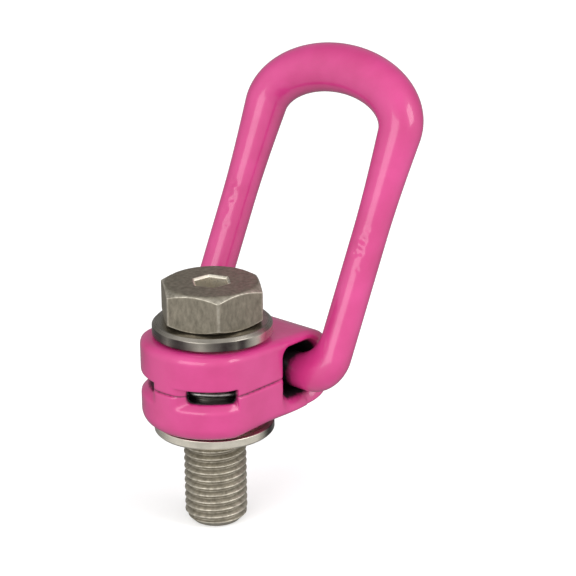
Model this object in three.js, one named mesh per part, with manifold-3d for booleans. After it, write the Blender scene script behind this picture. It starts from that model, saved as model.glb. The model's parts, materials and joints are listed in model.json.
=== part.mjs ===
// Swivel hoist ring: a bolt-on lifting point for an M24 tapped hole.
//
// A bush is clamped on the work by a captive hexagon bolt. A forged strap, folded round the load
// ring's bar, turns on the bush by its two eyes, and the load ring pivots in the strap's loop.
//
// Millimetres. +Z runs up the bolt, z = 0 is the bearing face under the bush's flange, and +X
// points from the bolt to the load ring's bar. The part is symmetric about the plane y = 0, apart
// from the thread, the bolt's turn and the wound spring.

import * as THREE from 'three';
import { mergeVertices } from 'three/addons/utils/BufferGeometryUtils.js';
import Module from 'manifold-3d';

const wasm = await Module();
wasm.setup();

// ---------------------------------------------------------------- driving dimensions

const THREAD_DIAMETER = 24;
const THREAD_PITCH = 3;
const THREAD_PROJECTION = 37.3;

// Bush and collar, both clamped still between the bolt head and the work.
const FLANGE_RADIUS = 22.9;
const FLANGE_HEIGHT = 3.8;
const COLLAR_RADIUS = 22.8;
const COLLAR_BOTTOM = 39.3;
const COLLAR_TOP = 44.3;
const SLEEVE_RADIUS = 16.5;
const BUSH_BORE_RADIUS = 12.5;

// Forged body: two eyes, and a loop round the load ring's bar.
const EYE_RADIUS = 27.4;
const BODY_WIDTH = 49;
const LOOP_RADIUS = 16;
const LOOP_CENTRE_X = 26.6;

// Load ring: straight bar, two legs and a thicker crown, along its centreline. Both lower corners
// are tight outside and full inside.
const RING_WIDTH = 68.1;
const RING_HEIGHT = 116.2;
const RING_OUTER_CORNER = 14.7;
const RING_INNER_CORNER = 10;
const CROWN_RISE = 20;
const WIRE_RADIUS = 6.7;
const PIVOT_X = LOOP_CENTRE_X;
const PIVOT_Z = 20.6;
const RING_LEAN = THREE.MathUtils.degToRad(26);

// Gaps left for movement.
const RUNNING_GAP = 0.25;
const SEAT_GAP = 0.2;

// ---------------------------------------------------------------- worked-out levels

const BODY_BOTTOM = FLANGE_HEIGHT + SEAT_GAP;
const BODY_TOP = COLLAR_BOTTOM - SEAT_GAP;
const BODY_MIDDLE = (BODY_BOTTOM + BODY_TOP) / 2;
const BODY_HALF_WIDTH = BODY_WIDTH / 2;

const ROUND_STEPS = 48;
const SMALL_ROUND_STEPS = 32;

// ---------------------------------------------------------------- geometry helpers

// A closed three.js geometry as a solid: coincident points are joined and the slivers that a pole
// on the axis leaves are dropped.
function solidOf(geometry) {
  const bare = geometry.index ? geometry.toNonIndexed() : geometry.clone();
  bare.deleteAttribute('normal');
  bare.deleteAttribute('uv');
  const joined = mergeVertices(bare, 1e-4);
  const corners = joined.index.array;
  const kept = [];
  for (let i = 0; i < corners.length; i += 3) {
    const [a, b, c] = [corners[i], corners[i + 1], corners[i + 2]];
    if (a !== b && b !== c && c !== a) {
      kept.push(a, b, c);
    }
  }
  const mesh = new wasm.Mesh({
    numProp: 3,
    vertProperties: joined.attributes.position.array,
    triVerts: Uint32Array.from(kept),
  });
  return new wasm.Manifold(mesh);
}

function geometryOf(solid) {
  const mesh = solid.getMesh();
  const geometry = new THREE.BufferGeometry();
  geometry.setAttribute('position', new THREE.BufferAttribute(mesh.vertProperties, 3));
  geometry.setIndex(new THREE.BufferAttribute(mesh.triVerts, 1));
  geometry.computeVertexNormals();
  return geometry;
}

// Solid of revolution about Z from [radius, height] pairs. The profile starts and ends on the
// axis, or closes on its first point, and runs anticlockwise with the radius to the right.
function turned(profile, steps = ROUND_STEPS) {
  const points = profile.map(([radius, height]) => new THREE.Vector2(radius, height));
  const geometry = new THREE.LatheGeometry(points, steps);
  geometry.rotateX(Math.PI / 2);
  return solidOf(geometry);
}

function block(x, y, z) {
  const size = [x, y, z].map(([low, high]) => high - low);
  const middle = [x, y, z].map(([low, high]) => (low + high) / 2);
  const geometry = new THREE.BoxGeometry(...size);
  geometry.translate(...middle);
  return solidOf(geometry);
}

// Prism of a shape drawn in the XZ plane, running from y = -halfWidth to y = halfWidth.
function crosswisePrism(shape, halfWidth, curveSegments) {
  const geometry = new THREE.ExtrudeGeometry(shape, {
    depth: 2 * halfWidth,
    bevelEnabled: false,
    curveSegments,
  });
  geometry.rotateX(Math.PI / 2);
  geometry.translate(0, halfWidth, 0);
  return solidOf(geometry);
}

// Closed surface through a stack of outlines with equal point counts, each given anticlockwise
// as seen from the end of the stack. The ends are closed by flat fans, unless the last outline
// joins the first.
function skinned(outlines, joinsUp = false) {
  const count = outlines[0].length;
  const points = outlines.flat();
  const faces = [];
  const rows = joinsUp ? outlines.length : outlines.length - 1;
  for (let row = 0; row < rows; row += 1) {
    const near = row * count;
    const far = ((row + 1) % outlines.length) * count;
    for (let i = 0; i < count; i += 1) {
      const next = (i + 1) % count;
      faces.push(near + i, near + next, far + next);
      faces.push(near + i, far + next, far + i);
    }
  }
  if (!joinsUp) {
    const start = points.length;
    points.push(centreOf(outlines[0]), centreOf(outlines.at(-1)));
    const last = (outlines.length - 1) * count;
    for (let i = 0; i < count; i += 1) {
      const next = (i + 1) % count;
      faces.push(start, next, i);
      faces.push(start + 1, last + i, last + next);
    }
  }
  const geometry = new THREE.BufferGeometry();
  geometry.setFromPoints(points);
  geometry.setIndex(faces);
  return geometry;
}

function centreOf(points) {
  const sum = points.reduce((total, point) => total.add(point), new THREE.Vector3());
  return sum.divideScalar(points.length);
}

function hexagonRadius(acrossFlats) {
  return acrossFlats / Math.sqrt(3);
}

// Upright hexagonal prism, its corners turned from the X axis by an angle. It widens upwards if
// its top is given as wider across flats.
function hexagonalPrism(acrossFlats, bottom, top, turn, topAcrossFlats = acrossFlats) {
  const radii = [topAcrossFlats, acrossFlats].map(hexagonRadius);
  const geometry = new THREE.CylinderGeometry(...radii, top - bottom, 6, 1, false, Math.PI / 2);
  geometry.rotateX(Math.PI / 2);
  geometry.rotateZ(turn);
  geometry.translate(0, 0, (bottom + top) / 2);
  return solidOf(geometry);
}

// ---------------------------------------------------------------- hexagon bolt

const HEX_ACROSS_FLATS = 1.5 * THREAD_DIAMETER;
const HEAD_HEIGHT = 15;
const HEAD_TOP = COLLAR_TOP + HEAD_HEIGHT;
const HEAD_CHAMFER_ANGLE = THREE.MathUtils.degToRad(30);
const HEAD_TURN = THREE.MathUtils.degToRad(-9.6);
const SOCKET_ACROSS_FLATS = 12;
const SOCKET_DEPTH = 9;
const SOCKET_LEAD = 0.8;
const WAIST_RADIUS = 10.9;
const THREAD_TOP = 5;
const RETAINER_GROOVE_RADIUS = 9.3;
const RETAINER_GROOVE = [8, 10.3];

// Helical ridge with 60 degree flanks on an endless rod, from z = 0 up, before its ends are cut.
function threadedRod(crestRadius, turns) {
  const stepsPerTurn = 24;
  const depth = 0.6134 * THREAD_PITCH;
  const crestWidth = 0.2 * THREAD_PITCH;
  const rows = [
    [crestRadius - depth, 0],
    [crestRadius, (THREAD_PITCH - crestWidth) / 2],
    [crestRadius, (THREAD_PITCH + crestWidth) / 2],
  ];
  const stations = stepsPerTurn * turns;
  const points = [];
  for (let station = 0; station <= stations; station += 1) {
    const angle = (2 * Math.PI * station) / stepsPerTurn;
    const rise = (THREAD_PITCH * station) / stepsPerTurn;
    for (const [radius, offset] of rows) {
      points.push(new THREE.Vector3(radius * Math.cos(angle), radius * Math.sin(angle), rise + offset));
    }
  }
  const width = rows.length;
  const vertex = (row, station) => (row < width
    ? station * width + row
    : (station + stepsPerTurn) * width + row - width);
  const faces = [];
  for (let station = 0; station < stations; station += 1) {
    const fullRows = station < stations - stepsPerTurn ? width : width - 1;
    for (let row = 0; row < fullRows; row += 1) {
      const [a, b] = [vertex(row, station), vertex(row, station + 1)];
      const [c, d] = [vertex(row + 1, station + 1), vertex(row + 1, station)];
      faces.push(a, b, c, a, c, d);
    }
  }
  closeThreadEnds(points, faces, vertex, stations, stepsPerTurn, width);
  const geometry = new THREE.BufferGeometry();
  geometry.setFromPoints(points);
  geometry.setIndex(faces);
  return geometry;
}

// Fans from one point on the axis below the first turn and from one above the last.
function closeThreadEnds(points, faces, vertex, stations, stepsPerTurn, width) {
  const first = [];
  const last = [];
  for (let i = 0; i <= stepsPerTurn; i += 1) {
    first.push(vertex(0, i));
    last.push(vertex(width - 1, stations - stepsPerTurn + i));
  }
  for (let row = width - 1; row > 0; row -= 1) {
    first.push(vertex(row, 0));
  }
  for (let row = width - 2; row >= 0; row -= 1) {
    last.push(vertex(row, stations));
  }
  const bottom = points.length;
  points.push(new THREE.Vector3(0, 0, -THREAD_PITCH));
  points.push(new THREE.Vector3(0, 0, points.at(stations * width).z + 2 * THREAD_PITCH));
  first.forEach((corner, i) => faces.push(bottom, first[(i + 1) % first.length], corner));
  last.forEach((corner, i) => faces.push(bottom + 1, corner, last[(i + 1) % last.length]));
}

function hexBolt() {
  const crest = THREAD_DIAMETER / 2;
  const tip = -THREAD_PROJECTION;
  const turns = Math.ceil((THREAD_TOP - tip) / THREAD_PITCH) + 3;
  const threadShape = threadedRod(crest, turns);
  threadShape.translate(0, 0, tip - 1.5 * THREAD_PITCH);
  const threadEnvelope = turned([
    [0, tip], [8.6, tip], [9.4, tip + 0.5], [crest + 0.2, tip + 3.2],
    [crest + 0.2, THREAD_TOP - 2], [WAIST_RADIUS - 0.6, THREAD_TOP], [0, THREAD_TOP],
  ], SMALL_ROUND_STEPS);
  const thread = solidOf(threadShape).intersect(threadEnvelope);
  const [grooveBottom, grooveTop] = RETAINER_GROOVE;
  const waist = turned([
    [0, THREAD_TOP - 4], [WAIST_RADIUS - 1.4, THREAD_TOP - 4], [WAIST_RADIUS, THREAD_TOP - 1],
    [WAIST_RADIUS, grooveBottom], [RETAINER_GROOVE_RADIUS, grooveBottom],
    [RETAINER_GROOVE_RADIUS, grooveTop], [WAIST_RADIUS, grooveTop],
    [WAIST_RADIUS, COLLAR_TOP + 1], [0, COLLAR_TOP + 1],
  ], SMALL_ROUND_STEPS);
  return geometryOf(thread.add(waist).add(boltHead()));
}

function boltHead() {
  const corner = hexagonRadius(HEX_ACROSS_FLATS);
  const faceRadius = 0.95 * HEX_ACROSS_FLATS / 2;
  const reach = corner + 1;
  const chamfer = (reach - faceRadius) * Math.tan(HEAD_CHAMFER_ANGLE);
  const envelope = turned([
    [0, COLLAR_TOP], [faceRadius, COLLAR_TOP], [reach, COLLAR_TOP + chamfer],
    [reach, HEAD_TOP - chamfer], [faceRadius, HEAD_TOP], [0, HEAD_TOP],
  ]);
  const prism = hexagonalPrism(HEX_ACROSS_FLATS, COLLAR_TOP, HEAD_TOP, HEAD_TURN);
  const socketFloor = HEAD_TOP - SOCKET_DEPTH;
  const socket = hexagonalPrism(SOCKET_ACROSS_FLATS, socketFloor, HEAD_TOP + 1, HEAD_TURN);
  const mouthAbove = 1;
  const mouth = hexagonalPrism(
    SOCKET_ACROSS_FLATS,
    HEAD_TOP - SOCKET_LEAD,
    HEAD_TOP + mouthAbove,
    HEAD_TURN,
    SOCKET_ACROSS_FLATS + 2 * (SOCKET_LEAD + mouthAbove),
  );
  return prism.intersect(envelope).subtract(socket).subtract(mouth);
}

// ---------------------------------------------------------------- captive ring on the bolt

const RETAINER_RADII = [9.6, 13];
const RETAINER_HEIGHT = 1.8;
const RETAINER_OPENING = 5;

// Flat split ring. It rides in the bolt's groove, and its rim is too wide for the bush's bore.
function boltRetainingRing() {
  const [inner, outer] = RETAINER_RADII;
  const bottom = RETAINER_GROOVE[0] + 0.25;
  const top = bottom + RETAINER_HEIGHT;
  const ring = turned([
    [inner, bottom], [outer, bottom], [outer, top], [inner, top], [inner, bottom],
  ], SMALL_ROUND_STEPS);
  const opening = block([0, 2 * outer], [-RETAINER_OPENING / 2, RETAINER_OPENING / 2], [0, 2 * top]);
  return geometryOf(ring.subtract(opening));
}

// ---------------------------------------------------------------- bush and its collar

const RETAINER_CHAMBER = [7.3, 25];
const RETAINER_CHAMBER_RADIUS = 13.5;
const SPIGOT_RADIUS = 15.4;
const FLANGE_CHAMFER = 0.8;
const COLLAR_CHAMFER = 1.3;

// Flanged sleeve. The wider chamber in its bore lets the retaining ring rise with the bolt.
function flangedBush() {
  const [chamberBottom, chamberTop] = RETAINER_CHAMBER;
  const top = COLLAR_TOP - SEAT_GAP;
  return geometryOf(turned([
    [BUSH_BORE_RADIUS, 0], [FLANGE_RADIUS - FLANGE_CHAMFER, 0], [FLANGE_RADIUS, FLANGE_CHAMFER],
    [FLANGE_RADIUS, FLANGE_HEIGHT - 0.5], [FLANGE_RADIUS - 0.5, FLANGE_HEIGHT],
    [SLEEVE_RADIUS, FLANGE_HEIGHT], [SLEEVE_RADIUS, COLLAR_BOTTOM], [SPIGOT_RADIUS, COLLAR_BOTTOM],
    [SPIGOT_RADIUS, top], [BUSH_BORE_RADIUS, top], [BUSH_BORE_RADIUS, chamberTop],
    [RETAINER_CHAMBER_RADIUS, chamberTop], [RETAINER_CHAMBER_RADIUS, chamberBottom],
    [BUSH_BORE_RADIUS, chamberBottom], [BUSH_BORE_RADIUS, 0],
  ]));
}

// Thrust collar pressed on the bush's spigot. It holds the body down on the bush.
function topCollar() {
  const bore = SPIGOT_RADIUS + 0.1;
  return geometryOf(turned([
    [bore, COLLAR_BOTTOM], [COLLAR_RADIUS - 0.4, COLLAR_BOTTOM], [COLLAR_RADIUS, COLLAR_BOTTOM + 0.4],
    [COLLAR_RADIUS, COLLAR_TOP - COLLAR_CHAMFER], [COLLAR_RADIUS - COLLAR_CHAMFER, COLLAR_TOP],
    [bore, COLLAR_TOP], [bore, COLLAR_BOTTOM],
  ]));
}

// ---------------------------------------------------------------- forged body

const EDGE_ROUND = 3;
const EYE_BORE_RADIUS = SLEEVE_RADIUS + RUNNING_GAP;
const SEAM_Z = [22, 22.6];
const TUNNEL_X = [19, 35.2];
const TUNNEL_Z = [12.8, 30];
const TUNNEL_FLARE = 5.5;
const POCKET_RADIUS = 22.3;
const POCKET_Z = [18.4, 26.4];
const LEG_SLOT_Y = [13.6, 21];
const LEG_SLOT_TOP = 28.4;
const WINDOW_ANGLE = THREE.MathUtils.degToRad(138);
const WINDOW_WIDTH = 21;
const WINDOW_Z = [19.2, 25.2];
const WINDOW_FLARE = 2.4;

// Plan of the body: a round eye cut by two flats that run on to the loop's end.
function bodyPlan() {
  const end = LOOP_CENTRE_X + LOOP_RADIUS;
  const flatAngle = Math.asin(BODY_HALF_WIDTH / EYE_RADIUS);
  const shape = new THREE.Shape();
  shape.moveTo(end, -BODY_HALF_WIDTH);
  shape.lineTo(end, BODY_HALF_WIDTH);
  shape.absarc(0, 0, EYE_RADIUS, Math.PI - flatAngle, Math.PI + flatAngle, false);
  shape.closePath();
  return shape;
}

// Side profile of the body: flat eyes that taper into the round loop about the ring's bar.
function bodySide() {
  const taperStart = LOOP_CENTRE_X - LOOP_RADIUS;
  const shape = new THREE.Shape();
  shape.moveTo(-EYE_RADIUS - 1, BODY_BOTTOM);
  shape.lineTo(taperStart, BODY_BOTTOM);
  shape.absarc(LOOP_CENTRE_X, BODY_MIDDLE, LOOP_RADIUS, -0.53 * Math.PI, 0.53 * Math.PI, false);
  shape.lineTo(taperStart, BODY_TOP);
  shape.lineTo(-EYE_RADIUS - 1, BODY_TOP);
  shape.closePath();
  return shape;
}

function bodyBlank() {
  const plan = new THREE.ExtrudeGeometry(bodyPlan(), {
    depth: BODY_TOP - BODY_BOTTOM - 2 * EDGE_ROUND,
    bevelThickness: EDGE_ROUND,
    bevelSize: EDGE_ROUND,
    bevelOffset: -EDGE_ROUND,
    bevelSegments: 3,
    curveSegments: 22,
  });
  plan.translate(0, 0, BODY_BOTTOM + EDGE_ROUND);
  return solidOf(plan).intersect(crosswisePrism(bodySide(), BODY_WIDTH, 22));
}

// Outline of the tunnel at one depth, grown outwards all round: square with rounded corners on
// the bolt's side, a half circle on the loop's side.
function tunnelOutline(y, growth) {
  const [left, right] = [TUNNEL_X[0] - 1.2 * growth, TUNNEL_X[1] + growth / 3];
  const [bottom, top] = [TUNNEL_Z[0] - growth, TUNNEL_Z[1] + growth];
  const half = (top - bottom) / 2;
  const corner = 4 + growth;
  const shape = new THREE.Shape();
  shape.moveTo(left, top - corner);
  shape.absarc(left + corner, bottom + corner, corner, Math.PI, 1.5 * Math.PI, false);
  shape.absellipse(right - half, bottom + half, half, half, -Math.PI / 2, Math.PI / 2, false);
  shape.absarc(left + corner, top - corner, corner, Math.PI / 2, Math.PI, false);
  return shape.getPoints(5).slice(0, -1).map((point) => new THREE.Vector3(point.x, y, point.y));
}

// Tunnel for the ring's bar, with rounded lips at both faces of the body.
function tunnel() {
  const lip = [0, 30, 60, 90].map((degrees) => {
    const turn = THREE.MathUtils.degToRad(degrees);
    const depth = TUNNEL_FLARE * (1 - Math.cos(turn));
    return { y: BODY_HALF_WIDTH - depth, growth: TUNNEL_FLARE * (1 - Math.sin(turn)) };
  });
  const stations = [{ y: BODY_HALF_WIDTH + 1, growth: TUNNEL_FLARE }, ...lip];
  const far = stations.map(({ y, growth }) => tunnelOutline(y, growth));
  const near = stations.map(({ y, growth }) => tunnelOutline(-y, growth)).reverse();
  return solidOf(skinned([...far, ...near]));
}

// Window into the spring pocket on one side of the eyes, widening towards the outside.
function spyWindow(side) {
  const [bottom, top] = WINDOW_Z;
  const outline = (x, growth) => [
    new THREE.Vector3(x, -WINDOW_WIDTH / 2 - growth, bottom - growth),
    new THREE.Vector3(x, WINDOW_WIDTH / 2 + growth, bottom - growth),
    new THREE.Vector3(x, WINDOW_WIDTH / 2 + growth, top + growth / 4),
    new THREE.Vector3(x, -WINDOW_WIDTH / 2 - growth, top + growth / 4),
  ];
  const geometry = skinned([
    outline(SLEEVE_RADIUS + 1, 0),
    outline(EYE_RADIUS - 2 * WINDOW_FLARE, 0),
    outline(EYE_RADIUS + WINDOW_FLARE / 2, 1.4 * WINDOW_FLARE),
  ]);
  geometry.rotateZ(side * WINDOW_ANGLE);
  return solidOf(geometry);
}

function springPocket() {
  const [bottom, top] = POCKET_Z;
  const round = turned([
    [0, bottom], [POCKET_RADIUS, bottom], [POCKET_RADIUS, top], [0, top],
  ], ROUND_STEPS);
  const [inner, outer] = LEG_SLOT_Y;
  const slotEnd = TUNNEL_X[0] + 4;
  const left = block([0, slotEnd], [inner, outer], [bottom, LEG_SLOT_TOP]);
  const right = block([0, slotEnd], [-outer, -inner], [bottom, LEG_SLOT_TOP]);
  return round.add(left).add(right);
}

function shackleBody() {
  const bore = turned([
    [0, 0], [EYE_BORE_RADIUS, 0], [EYE_BORE_RADIUS, COLLAR_TOP], [0, COLLAR_TOP],
  ]);
  const seam = block([-2 * EYE_RADIUS, TUNNEL_X[0] + 1], [-EYE_RADIUS, EYE_RADIUS], SEAM_Z);
  const cuts = [bore, seam, tunnel(), springPocket(), spyWindow(1), spyWindow(-1)];
  return geometryOf(cuts.reduce((solid, cut) => solid.subtract(cut), bodyBlank()));
}

// ---------------------------------------------------------------- load ring

const SWELL_START = 56;
const SWELL_END = 150;
const SWELL = 4.1;
const WIRE_SIDES = 14;

// Wire radius at a height above the bar: even along the legs, then growing into the crown.
function wireRadius(height) {
  return WIRE_RADIUS + SWELL * THREE.MathUtils.smoothstep(height, SWELL_START, SWELL_END);
}

// One edge of the load ring in its own plane, x across and y up from the bar's centreline: the
// outer edge for a side of 1, the inner edge for a side of -1. Points of both edges match.
function ringEdge(side, corner) {
  const half = RING_WIDTH / 2;
  const shoulder = RING_HEIGHT - CROWN_RISE;
  const level = -side * WIRE_RADIUS;
  const turn = half + side * WIRE_RADIUS - corner;
  const line = (x1, y1, x2, y2) => new THREE.LineCurve(
    new THREE.Vector2(x1, y1),
    new THREE.Vector2(x2, y2),
  );
  const arc = (x, from, to) => new THREE.EllipseCurve(
    x, level + corner, corner, corner, from, to,
  );
  const crown = new THREE.EllipseCurve(0, shoulder, half, CROWN_RISE, 0, Math.PI);
  const curves = [
    { curve: line(-turn, level, turn, level), sections: 3 },
    { curve: arc(turn, -Math.PI / 2, 0), sections: 6 },
    { curve: line(half, level + corner, half, shoulder), sections: 8, isCentreline: true },
    { curve: crown, sections: 20, isCentreline: true },
    { curve: line(-half, shoulder, -half, level + corner), sections: 8, isCentreline: true },
    { curve: arc(-turn, Math.PI, 1.5 * Math.PI), sections: 6 },
  ];
  return curves.flatMap(({ curve, sections, isCentreline }) => (
    Array.from({ length: sections }, (_, i) => {
      const point = curve.getPointAt(i / sections);
      const tangent = curve.getTangentAt(i / sections);
      const reach = isCentreline ? side * wireRadius(point.y) : 0;
      return new THREE.Vector2(point.x + reach * tangent.y, point.y - reach * tangent.x);
    })
  ));
}

// Section of the wire between a point of the outer edge and one of the inner edge, in the ring's
// plane YZ: round along bar and legs, longer across the full corners.
function wireSection(outer, inner) {
  const centre = outer.clone().add(inner).multiplyScalar(0.5);
  const half = outer.clone().sub(inner).multiplyScalar(0.5);
  const radius = wireRadius(centre.y);
  return Array.from({ length: WIRE_SIDES }, (_, side) => {
    const angle = (2 * Math.PI * side) / WIRE_SIDES;
    const inPlane = half.clone().multiplyScalar(Math.cos(angle)).add(centre);
    return new THREE.Vector3(-radius * Math.sin(angle), inPlane.x, inPlane.y);
  });
}

// Load ring standing upright in the YZ plane, with its bar on the Y axis.
function loadRing() {
  const outer = ringEdge(1, RING_OUTER_CORNER);
  const inner = ringEdge(-1, RING_INNER_CORNER);
  const sections = outer.map((point, i) => wireSection(point, inner[i]));
  return geometryOf(solidOf(skinned(sections, true)));
}

// ---------------------------------------------------------------- clamping spring

const SPRING_WIRE_RADIUS = 1;
const SPRING_RADIUS = 19;
const SPRING_LEG_Y = 15.2;
const SPRING_BOTTOM = 20.6;
const SPRING_PITCH = 2.6;
const SPRING_TURNS = 1.5;

// Double-turn wire spring round the bush, whose two legs press on the ring's bar from behind.
function clampingSpring() {
  const bar = new THREE.Vector3(PIVOT_X, 0, PIVOT_Z);
  const reach = WIRE_RADIUS + SPRING_WIRE_RADIUS + 0.3;
  const contactAngle = THREE.MathUtils.degToRad(135);
  const contact = (side) => new THREE.Vector3(
    bar.x + reach * Math.cos(contactAngle),
    side * SPRING_LEG_Y,
    bar.z + reach * Math.sin(contactAngle),
  );
  const points = [contact(-1), new THREE.Vector3(11, -SPRING_RADIUS, 23.4)];
  const steps = 30;
  for (let i = 0; i <= steps; i += 1) {
    const turn = (SPRING_TURNS * i) / steps;
    const angle = -Math.PI / 2 - 2 * Math.PI * turn;
    points.push(new THREE.Vector3(
      SPRING_RADIUS * Math.cos(angle),
      SPRING_RADIUS * Math.sin(angle),
      SPRING_BOTTOM + SPRING_PITCH * turn,
    ));
  }
  points.push(new THREE.Vector3(11, SPRING_RADIUS, 25.2), contact(1));
  const wire = new THREE.Shape();
  wire.absarc(0, 0, SPRING_WIRE_RADIUS, 0, 2 * Math.PI, false);
  const geometry = new THREE.ExtrudeGeometry(wire, {
    steps: 64,
    curveSegments: 4,
    extrudePath: new THREE.CatmullRomCurve3(points, false, 'centripetal'),
  });
  return geometryOf(solidOf(geometry));
}

// ---------------------------------------------------------------- materials and assembly

function material(color, roughness, metalness) {
  return new THREE.MeshStandardMaterial({ color, roughness, metalness });
}

const pinkEnamel = () => material(0xdc4f93, 0.35, 0);
const boltSteel = () => material(0x8a8072, 0.45, 1);
const turnedSteel = () => material(0xb3ada0, 0.3, 1);
const springSteel = () => material(0x6f6d6b, 0.4, 1);

function named(name, geometry, meshMaterial) {
  const mesh = new THREE.Mesh(geometry, meshMaterial);
  mesh.name = name;
  return mesh;
}

const clampedParts = new THREE.Group();
clampedParts.add(named('flanged_bush', flangedBush(), turnedSteel()));
clampedParts.add(named('top_collar', topCollar(), turnedSteel()));

const boltParts = new THREE.Group();
boltParts.add(named('hex_bolt', hexBolt(), boltSteel()));
boltParts.add(named('bolt_retaining_ring', boltRetainingRing(), springSteel()));

const swivellingParts = new THREE.Group();
swivellingParts.add(named('shackle_body', shackleBody(), pinkEnamel()));
swivellingParts.add(named('clamping_spring', clampingSpring(), springSteel()));

const pivotingParts = new THREE.Group();
pivotingParts.position.set(PIVOT_X, 0, PIVOT_Z);
pivotingParts.rotation.y = RING_LEAN;
pivotingParts.add(named('load_ring', loadRing(), pinkEnamel()));

const hoistRing = new THREE.Group();
hoistRing.add(clampedParts, boltParts, swivellingParts, pivotingParts);

export default hoistRing;
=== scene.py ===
"""Looks of a swivel hoist ring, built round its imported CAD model.

The seven CAD solids are replaced by fine surfaces of the same size: a body with soft enamelled
edges, a load ring, a bolt with a true helical thread, turned bush and collar, a retaining ring
and a wound spring. Shapes are worked out in millimetres, in the CAD model's frame, and become
metres in piece().
"""

import json
import math

import bpy
import numpy as np
from mathutils import Matrix, Vector


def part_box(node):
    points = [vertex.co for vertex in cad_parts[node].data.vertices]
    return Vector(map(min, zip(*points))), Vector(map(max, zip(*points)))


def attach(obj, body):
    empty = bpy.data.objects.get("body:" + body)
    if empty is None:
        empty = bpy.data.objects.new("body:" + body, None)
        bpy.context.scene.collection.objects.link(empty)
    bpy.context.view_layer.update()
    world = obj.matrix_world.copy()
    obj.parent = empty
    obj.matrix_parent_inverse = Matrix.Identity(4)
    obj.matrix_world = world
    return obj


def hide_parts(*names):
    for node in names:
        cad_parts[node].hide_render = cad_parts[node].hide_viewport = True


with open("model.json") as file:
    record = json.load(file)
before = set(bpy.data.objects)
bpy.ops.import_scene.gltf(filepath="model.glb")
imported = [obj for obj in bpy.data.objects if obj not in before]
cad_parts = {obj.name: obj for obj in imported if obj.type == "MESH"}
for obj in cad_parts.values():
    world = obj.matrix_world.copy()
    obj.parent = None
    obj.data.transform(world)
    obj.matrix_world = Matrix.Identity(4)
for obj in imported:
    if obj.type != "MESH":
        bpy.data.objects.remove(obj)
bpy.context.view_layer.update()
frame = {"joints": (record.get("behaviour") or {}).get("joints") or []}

MM = 0.001
MASK = "mask"


# ---------------------------------------------------------------- sizes taken from the frame

def box_mm(node):
    """Lowest and highest corner of a CAD node, in millimetres."""
    low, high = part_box(node)
    return low / MM, high / MM


def joint_point(name):
    """Point that a joint turns about, in millimetres."""
    joint = next(j for j in frame["joints"] if j["name"] == name)
    return Vector(joint["pos_m"]) / MM


bush_low, bush_high = box_mm("flanged_bush")
collar_low, collar_high = box_mm("top_collar")
bolt_low, bolt_high = box_mm("hex_bolt")
body_low, body_high = box_mm("shackle_body")
retainer_low, retainer_high = box_mm("bolt_retaining_ring")
PIVOT = joint_point("ring_pivot")

SEAT_GAP = 0.2
FLANGE_RADIUS = bush_high.x
FLANGE_HEIGHT = body_low.z - SEAT_GAP
SLEEVE_RADIUS = 16.5
BUSH_BORE_RADIUS = 12.5
COLLAR_RADIUS = collar_high.x
HEAD_BOTTOM = collar_high.z
HEAD_TOP = bolt_high.z
BOLT_TIP = bolt_low.z
THREAD_DIAMETER = 24
THREAD_PITCH = THREAD_DIAMETER / 8
HEX_ACROSS_FLATS = 1.5 * THREAD_DIAMETER
HEAD_TURN = math.radians(-9.6)
SOCKET_ACROSS_FLATS = 12
SOCKET_DEPTH = 9

EYE_RADIUS = -body_low.x
BODY_HALF_WIDTH = body_high.y
BODY_MIDDLE = (body_low.z + body_high.z) / 2
BODY_HALF_HEIGHT = (body_high.z - body_low.z) / 2
LOOP_RADIUS = body_high.x - PIVOT.x

RING_WIDTH = 68.1
RING_HEIGHT = 116.2
RING_OUTER_CORNER = 14.7
RING_INNER_CORNER = 10
CROWN_RISE = 20
WIRE_RADIUS = 6.7
SWELL = 4.1
SWELL_HEIGHTS = (56, 150)
# Span of |y| over which the painted shadow of the tunnel on the ring's bar fades out.
TUNNEL_SHADOW_Y = (16, 24)
RING_LEAN = math.radians(26)


# ---------------------------------------------------------------- mesh helpers

def piece(name, points, faces, material, body, node, weighted=False, mask=None):
    """A smooth shaded object from points in millimetres, in place of a CAD node on a body. The
    mask, one value a point, tells its material where the surface differs."""
    mesh = bpy.data.meshes.new(name)
    mesh.from_pydata((np.asarray(points) * MM).tolist(), [], [list(map(int, f)) for f in faces])
    mesh.validate()
    mesh.shade_smooth()
    mesh.materials.append(material)
    if mask is not None:
        stored = mesh.attributes.new(MASK, "FLOAT", "POINT")
        stored.data.foreach_set("value", np.asarray(mask, np.float32))
    made = bpy.data.objects.new(name, mesh)
    bpy.context.scene.collection.objects.link(made)
    if weighted:
        made.modifiers.new("flat faces stay flat", "WEIGHTED_NORMAL")
    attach(made, body)
    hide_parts(node)
    return made


def grid_faces(rows, columns, rows_close=False, columns_close=True):
    """Quads of a grid whose points are stored row by row."""
    row = np.arange(rows if rows_close else rows - 1)
    column = np.arange(columns if columns_close else columns - 1)
    r, c = (grid.ravel() for grid in np.meshgrid(row, column, indexing="ij"))
    next_r, next_c = (r + 1) % rows, (c + 1) % columns
    return np.stack([
        r * columns + c, r * columns + next_c, next_r * columns + next_c, next_r * columns + c,
    ], axis=1)


def softened(corners, closed=False, steps=5):
    """Points along a line of (radius, height, setback) corners, each corner rounded by a curve
    that starts and ends its setback away. Radius and height may be arrays, one value a column."""
    places = [np.stack(np.broadcast_arrays(*map(np.asarray, corner[:2])), axis=-1).astype(float)
              for corner in corners]
    points = []
    for i, (place, (_, _, setback)) in enumerate(zip(places, corners)):
        is_end = not closed and i in (0, len(corners) - 1)
        if is_end or setback == 0:
            points.append(place)
            continue
        before = places[i - 1] - place
        after = places[(i + 1) % len(places)] - place
        start = place + before * setback / np.linalg.norm(before, axis=-1, keepdims=True)
        end = place + after * setback / np.linalg.norm(after, axis=-1, keepdims=True)
        for step in range(steps + 1):
            t = step / steps
            points.append((1 - t) ** 2 * start + 2 * t * (1 - t) * place + t ** 2 * end)
    return points


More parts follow.
